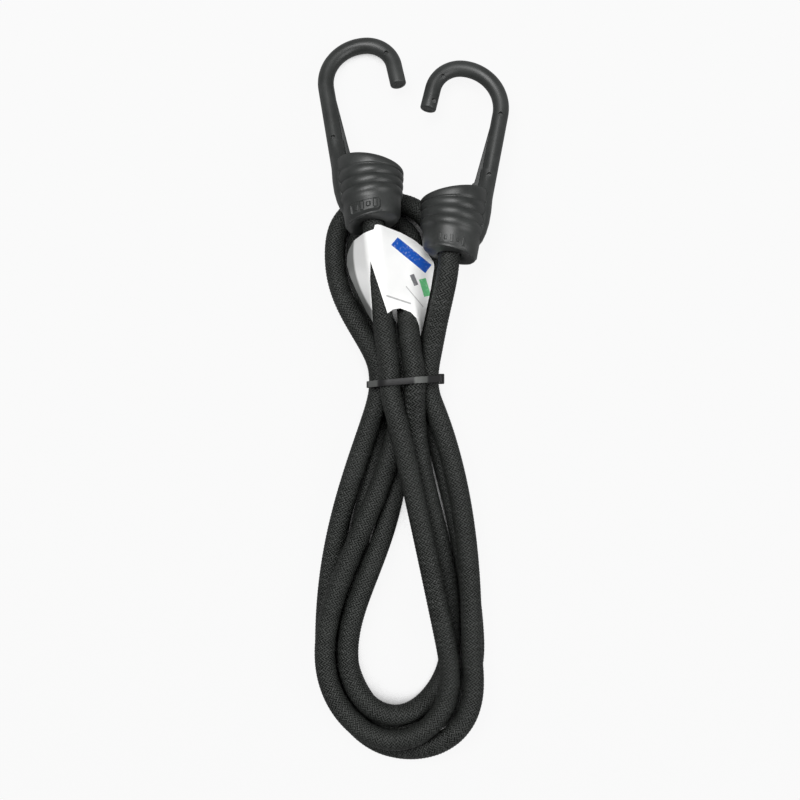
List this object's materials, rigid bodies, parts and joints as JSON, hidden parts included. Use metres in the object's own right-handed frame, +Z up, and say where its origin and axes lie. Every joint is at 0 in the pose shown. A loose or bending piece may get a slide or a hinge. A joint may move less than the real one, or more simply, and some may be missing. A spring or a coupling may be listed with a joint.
{
  "type": "bungee cord",
  "caption": "Elastic luggage cord put away as a hank with a small tie round its waist; each end carries a plastic-covered wire hook on a flared, ribbed collar.",
  "frame": {"origin": "on the table, under the middle of the outline", "axes": "+Y from the bottom loops to the hooks, +X to the right as seen from above with the hooks pointing away, +Z up from the table"},
  "size_m": [0.0874, 0.3274, 0.0396],
  "materials": {
    "cord_cover": "tight near-black braid with a faint grey fleck",
    "cord_rubber": "dull natural rubber strands",
    "hook_cover": "dark grey moulded plastic, satin",
    "hook_wire": "drawn steel wire",
    "clip_steel": "rolled steel strip",
    "tie": "dark grey moulded nylon",
    "label_film": "white printed film"
  },
  "bodies": {
    "hank": {"cord_hank_sheath": "cord_cover", "cord_hank_core": "cord_rubber", "cord_leg_left_sheath": "cord_cover", "cord_leg_left_core": "cord_rubber", "cord_leg_right_sheath": "cord_cover", "cord_leg_right_core": "cord_rubber", "cable_tie": "tie", "label": "label_film"},
    "left_cord_end": {"left_cord_clip": "clip_steel", "left_cord_end_sheath": "cord_cover", "left_cord_end_core": "cord_rubber"},
    "left_hook": {"left_hook_shell": "hook_cover", "left_hook_core": "hook_wire"},
    "right_cord_end": {"right_cord_clip": "clip_steel", "right_cord_end_sheath": "cord_cover", "right_cord_end_core": "cord_rubber"},
    "right_hook": {"right_hook_shell": "hook_cover", "right_hook_core": "hook_wire"}
  },
  "joints": [
    {"name": "left_stretch", "type": "slide", "parent": "hank", "child": "left_cord_end", "axis": [-0.0698, 0.9976, 0], "range_m": [0, 0.06], "stiffness_N_per_m": 400},
    {"name": "left_swivel", "type": "hinge", "parent": "left_cord_end", "child": "left_hook", "pos_m": [-0.01738, 0.08376, 0.02582], "axis": [-0.0671, 0.959, -0.2753], "continuous": true},
    {"name": "right_stretch", "type": "slide", "parent": "hank", "child": "right_cord_end", "axis": [0.0958, 0.9954, 0], "range_m": [0, 0.045], "stiffness_N_per_m": 400},
    {"name": "right_swivel", "type": "hinge", "parent": "right_cord_end", "child": "right_hook", "pos_m": [0.01721, 0.0706, 0.02397], "axis": [0.0941, 0.9771, -0.1908], "continuous": true}
  ]
}
